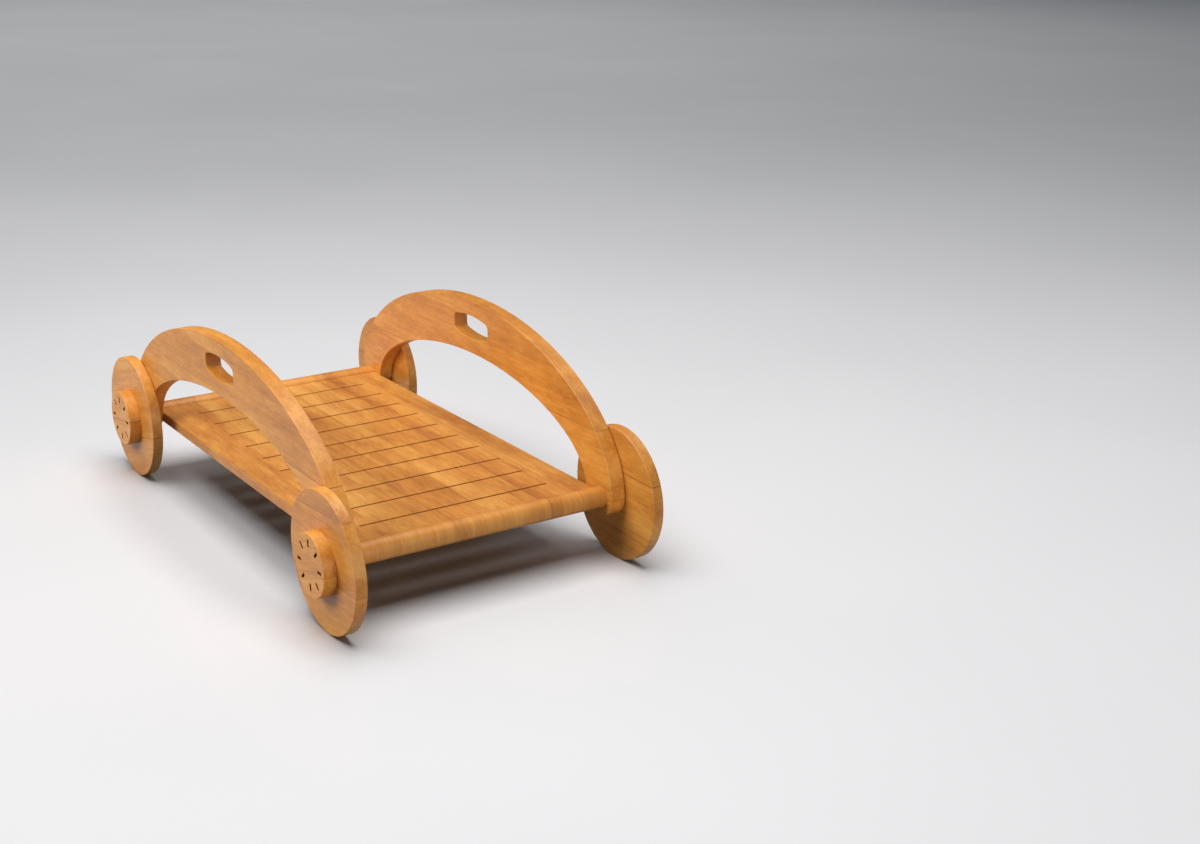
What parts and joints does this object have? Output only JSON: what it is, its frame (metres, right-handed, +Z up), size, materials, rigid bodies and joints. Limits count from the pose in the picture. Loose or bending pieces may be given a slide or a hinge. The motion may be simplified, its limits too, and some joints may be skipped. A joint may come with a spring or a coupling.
{
  "type": "rocker wagon",
  "caption": "Child's wooden wagon with a slotted flat deck between two bow-shaped sides with hand-holds; it rolls on disc wheels and, turned over, rocks on the bows.",
  "frame": {"origin": "on the floor, under the middle of the deck, with the wagon standing on its four wheels", "axes": "+X towards the front along the deck's length, +Y towards the left bow along the axles, +Z up"},
  "size_m": [1.18, 0.649, 0.393],
  "materials": {
    "deck_wood": "oiled and varnished, satin",
    "rail_wood": "oiled and varnished, satin",
    "bow_wood": "oiled and varnished, satin",
    "wheel_wood": "oiled and varnished, satin",
    "cap_wood": "oiled and varnished, satin",
    "dowel_wood": "raw beech",
    "zinc_steel": "zinc plated",
    "nylon": "natural nylon"
  },
  "bodies": {
    "chassis": {"deck_panel": "deck_wood", "rail_front": "rail_wood", "rail_rear": "rail_wood", "bow_left": "bow_wood", "bow_right": "bow_wood", "foot_dowels": "dowel_wood", "axle_front": "zinc_steel", "axle_rear": "zinc_steel", "clamp_washers": "zinc_steel", "clamp_nuts": "zinc_steel", "lock_washers": "zinc_steel", "lock_nuts": "zinc_steel"},
    "front_left_wheel": {"wheel_front_left": "wheel_wood", "bush_front_left": "nylon", "hub_cap_front_left": "cap_wood", "cap_dowels_front_left": "dowel_wood"},
    "front_right_wheel": {"wheel_front_right": "wheel_wood", "bush_front_right": "nylon", "hub_cap_front_right": "cap_wood", "cap_dowels_front_right": "dowel_wood"},
    "rear_left_wheel": {"wheel_rear_left": "wheel_wood", "bush_rear_left": "nylon", "hub_cap_rear_left": "cap_wood", "cap_dowels_rear_left": "dowel_wood"},
    "rear_right_wheel": {"wheel_rear_right": "wheel_wood", "bush_rear_right": "nylon", "hub_cap_rear_right": "cap_wood", "cap_dowels_rear_right": "dowel_wood"}
  },
  "joints": [
    {"name": "front_left_roll", "type": "hinge", "parent": "chassis", "child": "front_left_wheel", "pos_m": [0.465, 0.2905, 0.125], "axis": [0, 1, 0], "continuous": true},
    {"name": "front_right_roll", "type": "hinge", "parent": "chassis", "child": "front_right_wheel", "pos_m": [0.465, -0.2905, 0.125], "axis": [0, 1, 0], "continuous": true},
    {"name": "rear_left_roll", "type": "hinge", "parent": "chassis", "child": "rear_left_wheel", "pos_m": [-0.465, 0.2905, 0.125], "axis": [0, 1, 0], "continuous": true},
    {"name": "rear_right_roll", "type": "hinge", "parent": "chassis", "child": "rear_right_wheel", "pos_m": [-0.465, -0.2905, 0.125], "axis": [0, 1, 0], "continuous": true}
  ]
}
